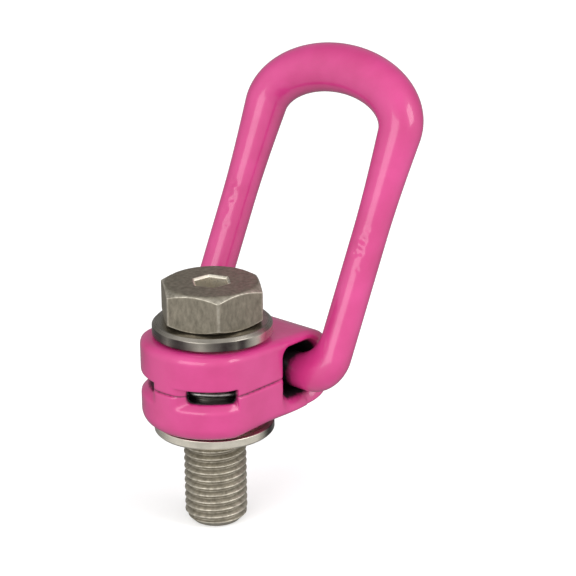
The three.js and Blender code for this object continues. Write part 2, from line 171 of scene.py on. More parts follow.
def spun(profile, angles):
    """Points of a profile turned about Z: one row for each profile point, one column an angle."""
    rows = []
    for point in profile:
        radius, height = np.broadcast_to(point, (len(angles), 2)).T
        rows.append(np.stack([radius * np.cos(angles), radius * np.sin(angles), height], axis=1))
    return np.concatenate(rows)


def full_turn(columns):
    return np.linspace(0, 2 * np.pi, columns, endpoint=False)


def turned_ring(corners, columns=216):
    """Points and faces of a closed profile turned about Z."""
    profile = softened(corners, closed=True)
    return spun(profile, full_turn(columns)), grid_faces(len(profile), columns, rows_close=True)


def capped(points, faces, rows, columns, first, last):
    """Closes both open ends of a grid with fans to two points."""
    count = len(points)
    points = np.concatenate([points, [first, last]])
    column = np.arange(columns)
    after = (column + 1) % columns
    top = (rows - 1) * columns
    fans = [(count, int(b), int(a)) for a, b in zip(column, after)]
    fans += [(count + 1, top + int(a), top + int(b)) for a, b in zip(column, after)]
    return points, [*faces.tolist(), *fans]


# ---------------------------------------------------------------- distance fields

def cut_round(a, b, radius):
    """Distance to what two shapes have in common, its edges rounded."""
    rounded = np.hypot(np.maximum(a + radius, 0), np.maximum(b + radius, 0))
    return np.minimum(np.maximum(a, b), -radius) + rounded


def without(shape, hole, radius):
    return cut_round(shape, -hole, radius)


def smoothstep(value, low, high):
    t = np.clip((value - low) / (high - low), 0, 1)
    return t * t * (3 - 2 * t)


def soft_box(u, v, half_u, half_v, corner):
    """Distance to a rectangle with round corners, from its centre."""
    p, q = np.abs(u) - half_u + corner, np.abs(v) - half_v + corner
    outside = np.hypot(np.maximum(p, 0), np.maximum(q, 0))
    return outside + np.minimum(np.maximum(p, q), 0) - corner


def surface_net(distance, low, high, cell):
    """Closed quad mesh of the surface where a distance is zero, with its points moved on to it."""
    axes = [np.arange(a, b + cell, cell) for a, b in zip(low, high)]
    field = distance(*np.meshgrid(*axes, indexing="ij"))
    inside = field < 0
    size = np.array(field.shape) - 1
    corner = [tuple((n >> k) & 1 for k in range(3)) for n in range(8)]
    window = [tuple(slice(o, o + s) for o, s in zip(at, size)) for at in corner]
    count = sum(inside[w].astype(np.int8) for w in window)
    cells = np.argwhere((count > 0) & (count < 8))
    index = np.full(size, -1)
    index[tuple(cells.T)] = np.arange(len(cells))

    total, crossings = np.zeros((len(cells), 3)), np.zeros(len(cells))
    for n, start in enumerate(corner):
        for k in range(3):
            if start[k]:
                continue
            end = tuple(1 if j == k else start[j] for j in range(3))
            a = field[tuple((cells + start).T)]
            b = field[tuple((cells + end).T)]
            crosses = (a < 0) != (b < 0)
            t = np.where(crosses, a / np.where(crosses, a - b, 1), 0)
            at = np.array(start) + t[:, None] * np.eye(3)[k]
            total += at * crosses[:, None]
            crossings += crosses
    points = np.array([axis[0] for axis in axes]) + (cells + total / crossings[:, None]) * cell

    faces = []
    for k in range(3):
        u, v = (k + 1) % 3, (k + 2) % 3
        edge = [slice(1, -1)] * 3
        edge[k] = slice(0, -1)
        beyond = list(edge)
        beyond[k] = slice(1, None)
        starts_in, ends_in = inside[tuple(edge)], inside[tuple(beyond)]
        for leaves in (True, False):
            crossing = starts_in & ~ends_in if leaves else ~starts_in & ends_in
            at = np.argwhere(crossing) + [0 if j == k else 1 for j in range(3)]
            around = []
            for du, dv in ((1, 1), (0, 1), (0, 0), (1, 0)):
                cell_at = at.copy()
                cell_at[:, u] -= du
                cell_at[:, v] -= dv
                around.append(index[tuple(cell_at.T)])
            quads = np.stack(around, axis=1)
            faces.append(quads if leaves else quads[:, ::-1])

    step = cell / 8
    for _ in range(4):
        value = distance(*points.T)
        slope = np.stack([
            (distance(*(points + step * e).T) - distance(*(points - step * e).T)) / (2 * step)
            for e in np.eye(3)
        ], axis=1)
        steepness = np.maximum((slope ** 2).sum(axis=1), 0.2)
        move = slope * (value / steepness)[:, None]
        points = points - np.clip(move, -cell / 2, cell / 2)
    return points, np.concatenate(faces)


# ---------------------------------------------------------------- materials

# Darkest and lightest colour of each finish, of the painted shade and of the painted reflections.
ENAMEL = ((0.60, 0.030, 0.203), (0.705, 0.047, 0.264))
# Painted shade deep in the body's tunnel, windows and seam, and on the ring's bar inside the tunnel.
PAINTED_SHADE = ((0.010, 0.008, 0.010), (0.028, 0.022, 0.026))
BLASTED_STEEL = ((0.150, 0.134, 0.102), (0.365, 0.328, 0.258))
# Painted light on the bolt's thread and socket, with wear and painted highlight on its head's edges.
LIT_AND_WORN_STEEL = (0.80, 0.745, 0.63)
BRIGHT_STEEL = ((0.58, 0.545, 0.46), (0.84, 0.78, 0.67))
# Painted dark reflections of the surroundings on collar and flange.
DARK_REFLECTION = ((0.040, 0.031, 0.031), (0.080, 0.068, 0.065))
DRAWN_WIRE = ((0.22, 0.215, 0.205), (0.60, 0.585, 0.55))


class Finish:
    """A principled material and short calls for the procedural nodes that feed it. Inputs are
    named as in Blender, with _ for a space."""

    def __init__(self, name, **fixed):
        self.material = bpy.data.materials.new(name)
        self.material.use_nodes = True
        self.tree = self.material.node_tree
        self.shader = self.tree.nodes["Principled BSDF"]
        self.place = self.tree.nodes.new("ShaderNodeTexCoord").outputs["Object"]
        self.surface(**fixed)

    def feed(self, socket, value):
        """Links a node's output to a socket, or sets the socket to a constant."""
        if isinstance(value, bpy.types.NodeSocket):
            self.tree.links.new(value, socket)
        else:
            socket.default_value = value

    def surface(self, **inputs):
        """Feeds the shader itself."""
        for key, value in inputs.items():
            self.feed(self.shader.inputs[key.replace("_", " ")], value)

    def node(self, kind, settings=None, **inputs):
        made = self.tree.nodes.new(kind)
        for key, value in (settings or {}).items():
            setattr(made, key, value)
        for key, value in inputs.items():
            self.feed(made.inputs[key.replace("_", " ")], value)
        return made

    def noise(self, scale, detail=4, roughness=0.5, place=None):
        """Noise whose features are about 1 mm apart at a scale of 1."""
        made = self.node(
            "ShaderNodeTexNoise", Vector=place or self.place, Scale=scale / MM,
            Detail=detail, Roughness=roughness,
        )
        return made.outputs["Fac"]

    def ramp(self, value, low, high, first, last):
        """Grey or colour that goes from first to last as the value goes from low to high."""
        made = self.node("ShaderNodeValToRGB", Fac=value)
        stops = ((low, first), (high, last))
        for element, (position, colour) in zip(made.color_ramp.elements, stops):
            element.position = position
            rgb = colour if isinstance(colour, tuple) else (colour,) * 3
            element.color = (*rgb, 1)
        return made.outputs["Color"]

    def span(self, value, low, high):
        """A 0 to 1 value stretched to run from low to high."""
        made = self.node("ShaderNodeMapRange", Value=value, To_Min=low, To_Max=high)
        return made.outputs["Result"]

    def mask(self):
        """The mask that piece() stores on the mesh."""
        return self.node("ShaderNodeAttribute", {"attribute_name": MASK}).outputs["Fac"]

    def blend(self, share, a, b):
        """Colour that goes from a to b as the share goes from 0 to 1."""
        made = self.node("ShaderNodeMix", {"data_type": "RGBA"})
        self.feed(made.inputs["Factor"], share)
        for socket, colour in (("A", a), ("B", b)):
            value = (*colour, 1) if isinstance(colour, tuple) else colour
            self.feed([i for i in made.inputs if i.name == socket and i.type == "RGBA"][0], value)
        return [o for o in made.outputs if o.type == "RGBA"][0]

    def maths(self, operation, a, b=0.0):
        made = self.node("ShaderNodeMath", {"operation": operation})
        self.feed(made.inputs[0], a)
        self.feed(made.inputs[1], b)
        return made.outputs[0]

    def bumps(self, *layers):
        """Stacks (height, depth in mm) layers into the shader's normal."""
        normal = None
        for height, depth in layers:
            made = self.node("ShaderNodeBump", Height=height, Distance=depth * MM)
            if normal:
                self.feed(made.inputs["Normal"], normal)
            normal = made.outputs["Normal"]
        self.surface(Normal=normal)

    def lathe_place(self):
        """Texture place that only changes across turning marks: along the radius and the axis."""
        x, y, z = self.node("ShaderNodeSeparateXYZ", Vector=self.place).outputs
        square = self.maths("ADD", self.maths("MULTIPLY", x, x), self.maths("MULTIPLY", y, y))
        joined = self.node("ShaderNodeCombineXYZ", X=self.maths("SQRT", square), Y=z)
        return joined.outputs["Vector"]


def pink_enamel():
    """Glossy powder coat: slightly uneven pink with a soft orange-peel skin. Where the mask is 1,
    deep in tunnel, windows and seam, painted shade turns it near-black and takes off its coat."""
    finish = Finish("pink_enamel", Coat_Roughness=0.09, Specular_IOR_Level=0.5)
    pink = finish.ramp(finish.noise(0.06, detail=3), 0.3, 0.7, *ENAMEL)
    # Painted shade: near-black where the mask, frayed by noise, marks a surface deep in a recess.
    shade_colour = finish.ramp(finish.noise(0.5, detail=3), 0.3, 0.7, *PAINTED_SHADE)
    ragged = finish.maths("ADD", finish.mask(), finish.span(finish.noise(0.7), -0.3, 0.3))
    painted_shade = finish.ramp(ragged, 0.2, 0.75, 0.0, 1.0)
    finish.surface(
        Base_Color=finish.blend(painted_shade, pink, shade_colour),
        Coat_Weight=finish.maths("MULTIPLY", finish.maths("SUBTRACT", 1.0, painted_shade), 0.75),
        Roughness=finish.span(finish.noise(0.25), 0.26, 0.42),
    )
    finish.bumps((finish.noise(0.45, detail=2), 0.05), (finish.noise(0.08, detail=2), 0.25))
    return finish.material


def bolt_steel():
    """Blasted and dulled steel: warm grey with streaks along the bolt and fine grain. Where the
    mask is 1 it is brighter and smoother: painted light, with wear on the head's edges."""
    finish = Finish("bolt_steel", Metallic=0.9)
    upright = finish.node("ShaderNodeVectorMath", {"operation": "MULTIPLY"})
    finish.feed(upright.inputs[0], finish.place)
    finish.feed(upright.inputs[1], (1, 1, 0.5))
    streaks = finish.noise(0.6, detail=6, roughness=0.6, place=upright.outputs[0])
    blasted = finish.ramp(streaks, 0.2, 0.8, *BLASTED_STEEL)
    patchy = finish.ramp(finish.noise(0.55, detail=5), 0.35, 0.6, 0.35, 1.0)
    # Painted light on thread and socket, wear with painted highlight on the head's edges and corners.
    light_and_wear = finish.maths("MINIMUM", finish.maths("MULTIPLY", finish.mask(), patchy), 1.0)
    dullness = finish.span(finish.noise(0.6), 0.46, 0.64)
    finish.surface(
        Base_Color=finish.blend(light_and_wear, blasted, LIT_AND_WORN_STEEL),
        Roughness=finish.maths("SUBTRACT", dullness, finish.maths("MULTIPLY", light_and_wear, 0.15)),
    )
    finish.bumps((finish.noise(2.2, detail=3), 0.03), (finish.noise(0.3, detail=4), 0.06))
    return finish.material


def turned_steel():
    """Bright steel with fine turning marks round the axis. Where the mask is 1, it is painted dark
    for reflections of the darker surroundings."""
    finish = Finish("turned_steel", Metallic=1.0)
    marks = finish.noise(3.0, detail=5, roughness=0.7, place=finish.lathe_place())
    bright = finish.ramp(finish.noise(0.15, detail=5), 0.3, 0.7, *BRIGHT_STEEL)
    dark = finish.ramp(finish.noise(0.3, detail=3), 0.3, 0.7, *DARK_REFLECTION)
    finish.surface(
        Base_Color=finish.blend(finish.mask(), bright, dark),
        Roughness=finish.span(marks, 0.18, 0.40),
    )
    finish.bumps((marks, 0.012), (finish.noise(1.2), 0.006))
    return finish.material


def spring_steel():
    """Dull drawn wire with darker patches."""
    finish = Finish("spring_steel", Metallic=1.0)
    finish.surface(
        Base_Color=finish.ramp(finish.noise(0.5), 0.35, 0.65, *DRAWN_WIRE),
        Roughness=finish.span(finish.noise(1.5), 0.3, 0.5),
    )
    finish.bumps((finish.noise(3.0, detail=3), 0.01))
    return finish.material


PINK = pink_enamel()
BOLT = bolt_steel()
TURNED = turned_steel()
SPRING = spring_steel()


# ---------------------------------------------------------------- bush and collar

BUSH_CHAMFER = 0.8
SPIGOT_RADIUS = 15.4
CHAMBER_RADIUS = 13.5
CHAMBER_Z = (7.3, 25)
COLLAR_BORE_RADIUS = 15.5
COLLAR_CHAMFER = 1.3
COLLAR_RIM = 0.6
# How dark the painted reflection is on the collar's top and chamfer.
COLLAR_TOP_REFLECTION = 0.55
COLLAR_SLOPE_REFLECTION = 0.6

# Patches of painted dark reflection on the sides of collar and flange: the middle of each and
# its reach in degrees of azimuth, and how dense it is.
COLLAR_DARK_REFLECTIONS = ((160, 32, 0.95), (190, 25, 1.0), (236, 28, 1.0), (252, 14, 1.0), (90, 60, 0.7))
FLANGE_DARK_REFLECTIONS = ((290, 16, 1.0), (313, 18, 1.0), (20, 40, 0.5))


def painted_reflection(points, patches):
    """How much painted dark reflection each point gets from patches round the azimuth."""
    azimuth = np.degrees(np.arctan2(points[:, 1], points[:, 0]))
    total = np.zeros(len(points))
    for middle, reach, density in patches:
        away = (azimuth - middle + 180) % 360 - 180
        total = np.maximum(total, density * np.exp(-(away / reach) ** 2))
    return total


def flanged_bush():
    """Flange below, sleeve and spigot above, and the bolt retainer's chamber in the bore."""
    bottom, step, top = bush_low.z, collar_low.z, HEAD_BOTTOM - SEAT_GAP
    chamber_low, chamber_high = CHAMBER_Z
    points, faces = turned_ring([
        (BUSH_BORE_RADIUS, bottom, 0.4), (FLANGE_RADIUS - BUSH_CHAMFER, bottom, 0.2),
        (FLANGE_RADIUS, bottom + BUSH_CHAMFER, 0.25), (FLANGE_RADIUS, FLANGE_HEIGHT, 0.5),
        (SLEEVE_RADIUS, FLANGE_HEIGHT, 0.3), (SLEEVE_RADIUS, step, 0.2),
        (SPIGOT_RADIUS, step, 0.2), (SPIGOT_RADIUS, top, 0.3), (BUSH_BORE_RADIUS, top, 0.3),
        (BUSH_BORE_RADIUS, chamber_high, 0.2), (CHAMBER_RADIUS, chamber_high, 0.2),
        (CHAMBER_RADIUS, chamber_low, 0.2), (BUSH_BORE_RADIUS, chamber_low, 0.2),
    ])
    radius = np.hypot(points[:, 0], points[:, 1])
    side = smoothstep(radius, FLANGE_RADIUS - 0.6, FLANGE_RADIUS - 0.1)
    # Painted dark reflection in patches round the flange's side.
    return piece("bush", points, faces, TURNED, "clamped_bush",
                 "flanged_bush", weighted=True, mask=side * painted_reflection(points, FLANGE_DARK_REFLECTIONS))


def top_collar():
    """Collar with a chamfered rim. Painted dark reflection: even on its top and chamfer, in patches
    on its side.
    """
    low, high = collar_low.z, collar_high.z
    shoulder, rim = high - COLLAR_CHAMFER, COLLAR_RADIUS - COLLAR_CHAMFER
    points, faces = turned_ring([
        (COLLAR_BORE_RADIUS, low, 0.2), (COLLAR_RADIUS, low, 0.45),
        (COLLAR_RADIUS, shoulder, 0.35), (rim, high, 0.3),
        (rim - COLLAR_RIM, high, 0), (COLLAR_BORE_RADIUS, high, 0.2),
    ])
    radius, height = np.hypot(points[:, 0], points[:, 1]), points[:, 2]
    side = smoothstep(radius, COLLAR_RADIUS - 0.25, COLLAR_RADIUS - 0.05)
    side *= 1 - smoothstep(height, shoulder, shoulder + 0.2)
    top = (radius < rim - COLLAR_RIM + 0.2) & (height > high - 0.1)
    slope = (height > shoulder - 0.1) & ~top
    # Painted dark reflection: patches round the side, even over top and chamfer.
    mask = np.maximum(side * painted_reflection(points, COLLAR_DARK_REFLECTIONS),
                      top * COLLAR_TOP_REFLECTION + slope * COLLAR_SLOPE_REFLECTION)
    return piece("collar", points, faces, TURNED, "clamped_bush",
                 "top_collar", weighted=True, mask=mask)


# ---------------------------------------------------------------- hexagon bolt

HEX_SIDE_COLUMNS = 48
THREAD_ROW = 0.165
HEAD_CHAMFER = math.tan(math.radians(30))
HEAD_FACE_RADIUS = 0.95 * HEX_ACROSS_FLATS / 2
HEAD_CORNER = 0.7
SOCKET_CORNER = 0.25
SOCKET_LEAD = 0.8
WAIST_RADIUS = 10.9
THREAD_TOP = 5
CREST_RADII = (10.4, 11.8)
TIP_CHAMFER = 2.6
TIP_EDGE = 0.5
GROOVE = (8, 10.3)
GROOVE_RADIUS = 9.3

# How much painted light the bolt gets in each place, with wear and painted highlight along the
# head's edges and corners; how far the edge marks reach from an edge of the head and how far
# down the socket the painted light goes.
THREAD_PAINTED_LIGHT = 0.25
CREST_PAINTED_LIGHT = 0.75
EDGE_WEAR_AND_HIGHLIGHT = 0.8
CORNER_WEAR_AND_HIGHLIGHT = 0.35
LEAD_PAINTED_LIGHT = 0.8
SOCKET_PAINTED_LIGHT = 2
EDGE_HIGHLIGHT_REACH = 0.6
PAINTED_LIGHT_DEPTH = 5.5


def hexagon_angles():
    """Azimuths of the bolt's columns, packed closely at the hexagon's corners."""
    share = np.arange(HEX_SIDE_COLUMNS) / HEX_SIDE_COLUMNS
    within = np.radians(60) * (share - 0.8 * np.sin(2 * np.pi * share) / (2 * np.pi))
    return np.concatenate([HEAD_TURN + math.radians(60 * side) + within for side in range(6)])


def hexagon_reach(angles, across_flats, corner):
    """Distance from the axis to a hexagon with round corners."""
    flat = across_flats / 2
    from_corner = (angles - HEAD_TURN + math.radians(30)) % math.radians(60) - math.radians(30)
    centre = (flat - corner) / math.cos(math.radians(30))
    tangent = math.atan2(corner / 2, centre + corner * math.cos(math.radians(30)))
    round_part = centre * np.cos(from_corner) + np.sqrt(
        np.maximum(corner ** 2 - (centre * np.sin(from_corner)) ** 2, 0))
    straight = flat / np.cos(math.radians(30) - np.abs(from_corner))
    return np.where(np.abs(from_corner) < tangent, round_part, straight)


def thread_reach(angles, height):
    """Distance from the axis to the thread at one height: flat crests, 60 degree flanks and
    round roots, cut by the chamfer at the tip and run out at the top."""
    turns = (height - BOLT_TIP) / THREAD_PITCH - angles / (2 * np.pi)
    from_crest = np.abs((turns + 0.5) % 1 - 0.5) * THREAD_PITCH
    flank = math.tan(math.radians(60)) * (from_crest - THREAD_PITCH / 16)
    crest_blend = 0.12
    depth = (flank + np.sqrt(flank ** 2 + crest_blend ** 2)) / 2
    full_depth = 0.6134 * THREAD_PITCH
    root_blend = 0.45
    overlap = np.maximum(root_blend - np.abs(depth - full_depth), 0) / root_blend
    depth = np.minimum(depth, full_depth) - overlap ** 2 * root_blend / 4
    reach = THREAD_DIAMETER / 2 - depth
    chamfer = THREAD_DIAMETER / 2 - TIP_CHAMFER + max(height - BOLT_TIP - TIP_EDGE, 0)
    run_out = THREAD_TOP - height + WAIST_RADIUS
    return np.minimum(reach, min(chamfer, run_out, THREAD_DIAMETER / 2))


def bolt_light_and_wear(points):
    """How bright each point of the bolt is painted: painted light over the thread, most on its
    crests, and on lead-in and upper walls of the socket; wear and painted highlight along the
    edges and corners of the head."""
    radius = np.hypot(points[:, 0], points[:, 1])
    height = points[:, 2]
    azimuth = np.arctan2(points[:, 1], points[:, 0])
    reach = hexagon_reach(azimuth, HEX_ACROSS_FLATS, HEAD_CORNER)
    chamfer = (reach - HEAD_FACE_RADIUS) * HEAD_CHAMFER
    on_head = height > HEAD_BOTTOM
    crest = smoothstep(radius, *CREST_RADII)
    # Painted light over the whole thread, brightest on the crests.
    thread = (THREAD_PAINTED_LIGHT + (CREST_PAINTED_LIGHT - THREAD_PAINTED_LIGHT) * crest) * (height < THREAD_TOP)
    from_edge = np.minimum(np.abs(height - HEAD_TOP + chamfer),
                           np.abs(height - HEAD_BOTTOM - chamfer))
    # Wear with painted highlight along the head's edges and corners.
    edge = (1 - smoothstep(from_edge, 0.1, 0.3)) * (radius > reach - 0.3) * on_head
    corner_reach = HEX_ACROSS_FLATS / math.sqrt(3) - 0.1
    corner = smoothstep(radius, corner_reach - 0.45, corner_reach) * on_head
    # Painted light on the socket's lead-in and upper walls, lifting the shade inside it.
    mouth = hexagon_reach(azimuth, SOCKET_ACROSS_FLATS, SOCKET_CORNER) + SOCKET_LEAD + 0.1
    socket = (radius < mouth) * smoothstep(height, HEAD_TOP - SOCKET_DEPTH, HEAD_TOP - PAINTED_LIGHT_DEPTH)
    lead_in = smoothstep(height, HEAD_TOP - SOCKET_LEAD, HEAD_TOP)
    socket *= SOCKET_PAINTED_LIGHT + (LEAD_PAINTED_LIGHT - SOCKET_PAINTED_LIGHT) * lead_in
    return np.maximum.reduce([thread, EDGE_WEAR_AND_HIGHLIGHT * edge, CORNER_WEAR_AND_HIGHLIGHT * corner, socket])


def hex_bolt():
    """The bolt in one grid, from the tip up its outside and down into the socket. Rows lie the edge
    marks' reach away from the head's edges, so that their wear and painted highlight end there."""
    angles = hexagon_angles()
    hexagon = hexagon_reach(angles, HEX_ACROSS_FLATS, HEAD_CORNER)
    chamfer = (hexagon - HEAD_FACE_RADIUS) * HEAD_CHAMFER
    low_edge, high_edge = HEAD_BOTTOM + chamfer, HEAD_TOP - chamfer
    socket = hexagon_reach(angles, SOCKET_ACROSS_FLATS, SOCKET_CORNER)
    mouth = socket + SOCKET_LEAD
    socket_floor = HEAD_TOP - SOCKET_DEPTH

    tip = [(4, BOLT_TIP), (8.4, BOLT_TIP), (9, BOLT_TIP + 0.12)]
    heights = np.arange(BOLT_TIP + TIP_EDGE, THREAD_TOP - 0.2, THREAD_ROW)
    thread = [np.stack([thread_reach(angles, height), np.full(len(angles), height)], axis=-1)
              for height in heights]
    shank_and_head = softened([
        (WAIST_RADIUS, THREAD_TOP, 0), (WAIST_RADIUS, GROOVE[0], 0.1),
        (GROOVE_RADIUS, GROOVE[0], 0.1), (GROOVE_RADIUS, GROOVE[1], 0.1),
        (WAIST_RADIUS, GROOVE[1], 0.1), (WAIST_RADIUS, HEAD_BOTTOM, 0.8),
        (HEAD_FACE_RADIUS, HEAD_BOTTOM, 0.3), (hexagon, low_edge, 0.22),
        (hexagon, low_edge + EDGE_HIGHLIGHT_REACH, 0), (hexagon, high_edge - EDGE_HIGHLIGHT_REACH, 0),
        (hexagon, high_edge, 0.22), (HEAD_FACE_RADIUS, HEAD_TOP, 0.3),
        (HEAD_FACE_RADIUS - EDGE_HIGHLIGHT_REACH, HEAD_TOP, 0), (mouth + EDGE_HIGHLIGHT_REACH, HEAD_TOP, 0),
        (mouth, HEAD_TOP, 0.15), (socket, HEAD_TOP - SOCKET_LEAD, 0.15),
        (socket, HEAD_TOP - PAINTED_LIGHT_DEPTH, 0), (socket, socket_floor, 0.3),
        (3, socket_floor - 0.8, 0),
    ])
    rows = [*tip, *thread, *shank_and_head]
    points = spun(rows, angles)
    faces = grid_faces(len(rows), len(angles))
    points, faces = capped(points, faces, len(rows), len(angles), (0, 0, BOLT_TIP),
                           (0, 0, socket_floor - 1.6))
    return piece("bolt", points, faces, BOLT, "bolt", "hex_bolt", weighted=True,
                 mask=bolt_light_and_wear(points))


RETAINER_BORE_RADIUS = 9.6
RETAINER_OPENING = 5


def retaining_ring():
    """Flat split ring in the bolt's groove."""
    inner, outer = RETAINER_BORE_RADIUS, retainer_high.y
    low, high = retainer_low.z, retainer_high.z
    half_opening = math.asin(RETAINER_OPENING / 2 / outer)
    angles = np.linspace(half_opening, 2 * np.pi - half_opening, 160)
    profile = softened([
        (inner, low, 0.25), (outer, low, 0.25), (outer, high, 0.25), (inner, high, 0.25),
    ], closed=True)
    count = len(profile)
    points = spun(profile, angles).reshape(count, len(angles), 3).swapaxes(0, 1)
    centres = points.mean(axis=1)
    faces = grid_faces(len(angles), count)
    points, faces = capped(points.reshape(-1, 3), faces, len(angles), count,
                           centres[0], centres[-1])
    faces = [face[::-1] for face in faces]
    return piece("retaining_ring", points, faces, SPRING, "bolt_retainer",
                 "bolt_retaining_ring", weighted=True)


# ---------------------------------------------------------------- forged body

EYE_BORE_RADIUS = SLEEVE_RADIUS + 0.25
TAPER = math.radians(5.5)
TUNNEL_X = (19, 35.2)
TUNNEL_Z = (12.8, 30)
TUNNEL_MIDDLE = (24, 21.4)
TUNNEL_CORNER = 4
FUNNEL_DEPTH = 9
FUNNEL_LEFT = 6
FUNNEL_UP = 4
CRISP_LIP = 1.6
FULL_LIP = 7
FULL_LIP_DIRECTION = (0.6, -0.8)
SEAM_Z = 22.2
SEAM_DEPTH = 1.3
SEAM_HALF_WIDTH = 0.45
SEAM_END_X = (10, 15)
SEAM_FADE = 3
POCKET_RADIUS = 22.3
POCKET_Z = (18.4, 26.4)
WINDOW_AZIMUTH = math.radians(138.1)
WINDOW_HALF_WIDTH = 10.8
WINDOW_Z = (19.2, 25.2)
LIP_DEPTH = 2.6
LIP_BELOW = 2.4
LIP_BESIDE = 4.4
LEG_SLOT_Y = (13.6, 21)
LEG_SLOT_TOP = 28.4
LEG_SLOT_END_X = TUNNEL_X[0] + 4
# Depths inside the blank over which the painted shade sets in, and how dark the painted shade in the
# seam is.
SHADE_DEPTHS = (1.0, 5.2)
SEAM_DARKNESS = 0.62
UPPER_EDGE = 4
LOWER_EYE_EDGE = 6
LOWER_LOOP_EDGE = 2.8
LOWER_EDGE_X = (4, 24)
EDGE_BLEND = 6
EYE_TO_FLAT = 3
SLAB_TO_LOOP = 6
WINDOW_CORNER = 2.2
WINDOW_EDGE = 0.6
INNER_EDGE = 0.4
LIP_EDGE = 1
LIP_BELOW_SLOPE = 0.7
LIP_BESIDE_SLOPE = 0.5


def body_side(x, z):
    """Distance to the side profile: two flat eyes that taper into the loop's round end."""
    along, up = x - PIVOT.x, np.abs(z - BODY_MIDDLE)
    slab = up - BODY_HALF_HEIGHT
    taper = along * math.sin(TAPER) + up * math.cos(TAPER) - LOOP_RADIUS
    past_tangent = along * math.cos(TAPER) - up * math.sin(TAPER) > 0
    loop = np.where(past_tangent, np.hypot(along, up) - LOOP_RADIUS, taper)
    return cut_round(slab, loop, SLAB_TO_LOOP)


def tunnel(x, y, z):
    """Distance to the tunnel, square on the bolt's side and round on the loop's. Towards both
    faces of the body it opens out like a funnel, on the bolt's side and at the top."""
    funnel = 1 - smoothstep(BODY_HALF_WIDTH - np.abs(y), 0, FUNNEL_DEPTH)
    left = TUNNEL_X[0] - FUNNEL_LEFT * funnel
    top = TUNNEL_Z[1] + FUNNEL_UP * funnel
    round_half = (TUNNEL_Z[1] - TUNNEL_Z[0]) / 2
    centre_x, centre_z = TUNNEL_X[1] - round_half, (TUNNEL_Z[0] + top) / 2
    half = (top - TUNNEL_Z[0]) / 2
    square = soft_box(np.minimum(x - centre_x, 0), z - centre_z, centre_x - left, half, TUNNEL_CORNER)
    across = (x - centre_x) / round_half
    above = (z - centre_z) / half
    oval = (np.hypot(across, above) - 1) * round_half
    return np.where(x > centre_x, oval, square)


def mouth_radius(x, z):
    """Rounding of the tunnel's lip: crisp on the bolt's side and top, full below the loop."""
    across, above = x - TUNNEL_MIDDLE[0], z - TUNNEL_MIDDLE[1]
    towards_full = FULL_LIP_DIRECTION[0] * across + FULL_LIP_DIRECTION[1] * above
    share = smoothstep(towards_full / (np.hypot(across, above) + 1), -0.3, 0.5)
    return CRISP_LIP + (FULL_LIP - CRISP_LIP) * share


def window(x, y, z, depth):
    """Distance to one window and the sloping lip pressed round it. The windows on both sides are
    mirror images, so y counts from either side."""
    along = EYE_RADIUS * (np.arctan2(np.abs(y), x) - WINDOW_AZIMUTH)
    middle = (WINDOW_Z[0] + WINDOW_Z[1]) / 2
    half = (WINDOW_Z[1] - WINDOW_Z[0]) / 2
    opening = soft_box(along, z - middle, WINDOW_HALF_WIDTH, half, WINDOW_CORNER)
    below = WINDOW_Z[0] - LIP_BELOW + depth * LIP_BELOW / LIP_DEPTH
    beside = WINDOW_HALF_WIDTH + LIP_BESIDE - depth * LIP_BESIDE / LIP_DEPTH
    upper_left = cut_round(-along - WINDOW_HALF_WIDTH, z - WINDOW_Z[1], LIP_EDGE)
    lower_right = cut_round(
        (below - z) * LIP_BELOW_SLOPE, (along - beside) * LIP_BESIDE_SLOPE, LIP_EDGE)
    lip = np.maximum(upper_left, lower_right)
    return np.minimum(opening, lip)


def seam_share(x, z):
    """1 in the middle of the seam between the body's two eyes, 0 away from it."""
    return np.exp(-((z - SEAM_Z) / SEAM_HALF_WIDTH) ** 2) * (1 - smoothstep(x, *SEAM_END_X))


def body_plan(x, y):
    """Distance to the body's outline from above: a round eye between two flats."""
    eye = np.hypot(np.minimum(x, 0), y) - EYE_RADIUS
    return cut_round(eye, np.abs(y) - BODY_HALF_WIDTH, EYE_TO_FLAT)


def body_blank(x, y, z):
    """Distance to the body without its holes. Its edges are fullest below the eyes and crispest
    below the loop."""
    below = (1 - np.tanh((z - BODY_MIDDLE) / EDGE_BLEND)) / 2
    lower = LOWER_EYE_EDGE + (LOWER_LOOP_EDGE - LOWER_EYE_EDGE) * smoothstep(x, *LOWER_EDGE_X)
    edge = UPPER_EDGE + (lower - UPPER_EDGE) * below
    return cut_round(body_plan(x, y), body_side(x, z), edge)


def body_distance(x, y, z):
    """Distance to the whole body: the blank without tunnel, seam, windows and the bush's bore
    with the spring's pocket and the slots for its legs."""
    plan, blank = body_plan(x, y), body_blank(x, y, z)
    shape = without(blank, tunnel(x, y, z), mouth_radius(x, z))
    shape = shape + SEAM_DEPTH * seam_share(x, z) * smoothstep(-plan, SEAM_FADE, 0)
    radius = np.hypot(x, y)
    windows = np.maximum(window(x, y, z, -plan), SLEEVE_RADIUS - radius)
    shape = without(shape, windows, WINDOW_EDGE)
    pocket_middle = (POCKET_Z[0] + POCKET_Z[1]) / 2
    pocket_half = (POCKET_Z[1] - POCKET_Z[0]) / 2
    pocket = np.maximum(radius - POCKET_RADIUS, np.abs(z - pocket_middle) - pocket_half)
    slot_middle, slot_half = sum(LEG_SLOT_Y) / 2, (LEG_SLOT_Y[1] - LEG_SLOT_Y[0]) / 2
    slot = np.maximum(np.abs(np.abs(y) - slot_middle) - slot_half,
                      np.maximum(z - LEG_SLOT_TOP, POCKET_Z[0] - z))
    slot = np.maximum(slot, np.maximum(-x, x - LEG_SLOT_END_X))
    inner = np.minimum(np.minimum(pocket, slot), radius - EYE_BORE_RADIUS)
    return without(shape, inner, INNER_EDGE)


